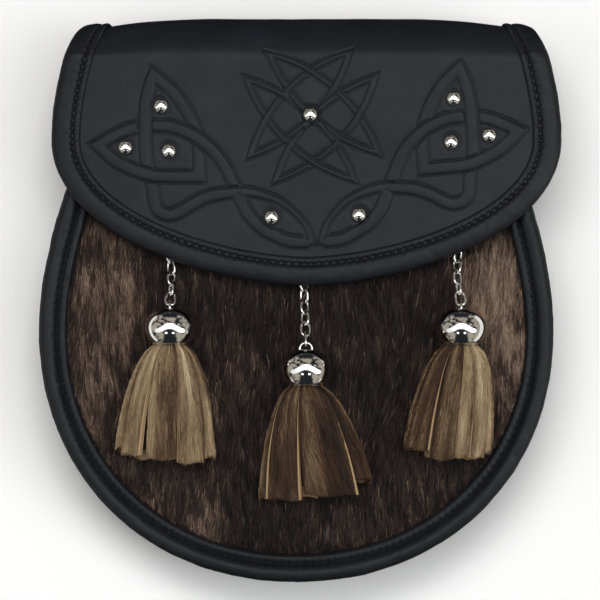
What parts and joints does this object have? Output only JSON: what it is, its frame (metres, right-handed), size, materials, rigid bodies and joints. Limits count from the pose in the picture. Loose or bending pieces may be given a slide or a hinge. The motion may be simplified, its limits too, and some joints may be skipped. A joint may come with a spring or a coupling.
{
  "type": "sporran pouch",
  "caption": "Leather sporran pouch with a fur front, a studded flap folded over its top and hair tassels on short chains, worn on a belt strap through its back loops.",
  "frame": {"origin": "on the surface that the pouch lies on, below the middle of its outline", "axes": "+X to its right as seen from the front, +Y to its top, +Z out of its front, which lies face up"},
  "size_m": [0.1849, 0.1999, 0.0545],
  "materials": {
    "flap_leather": "smooth black leather, satin, with pressed knotwork",
    "binding_leather": "black leather, satin, stitched",
    "back_leather": "black leather, dull",
    "fur": "short brown-black fur with fawn streaks, lying down",
    "hair_hide": "strips of fawn and brown hair-on hide with pale cut edges",
    "chrome": "polished"
  },
  "bodies": {
    "root": {"back_panel": "back_leather", "back_rim": "binding_leather", "gusset": "binding_leather", "front_panel": "fur", "front_rim": "binding_leather", "strap_loop_left": "back_leather", "strap_loop_right": "back_leather", "flap": "flap_leather", "flap_rim": "binding_leather", "flap_snap": "chrome", "stud_1": "chrome", "stud_2": "chrome", "stud_3": "chrome", "stud_4": "chrome", "stud_5": "chrome", "stud_6": "chrome", "stud_7": "chrome", "stud_8": "chrome", "stud_9": "chrome", "chain_staple_left": "chrome", "chain_staple_middle": "chrome", "chain_staple_right": "chrome", "chain_left_link_1": "chrome", "chain_left_link_2": "chrome", "chain_left_link_3": "chrome", "chain_left_link_4": "chrome", "chain_left_link_5": "chrome", "chain_middle_link_1": "chrome", "chain_middle_link_2": "chrome", "chain_middle_link_3": "chrome", "chain_middle_link_4": "chrome", "chain_middle_link_5": "chrome", "chain_middle_link_6": "chrome", "chain_right_link_1": "chrome", "chain_right_link_2": "chrome", "chain_right_link_3": "chrome", "chain_right_link_4": "chrome", "chain_right_link_5": "chrome", "chain_right_link_6": "chrome", "tassel_cap_left": "chrome", "tassel_cap_middle": "chrome", "tassel_cap_right": "chrome", "tassel_skirt_left": "hair_hide", "tassel_skirt_middle": "hair_hide", "tassel_skirt_right": "hair_hide"}
  },
  "joints": []
}
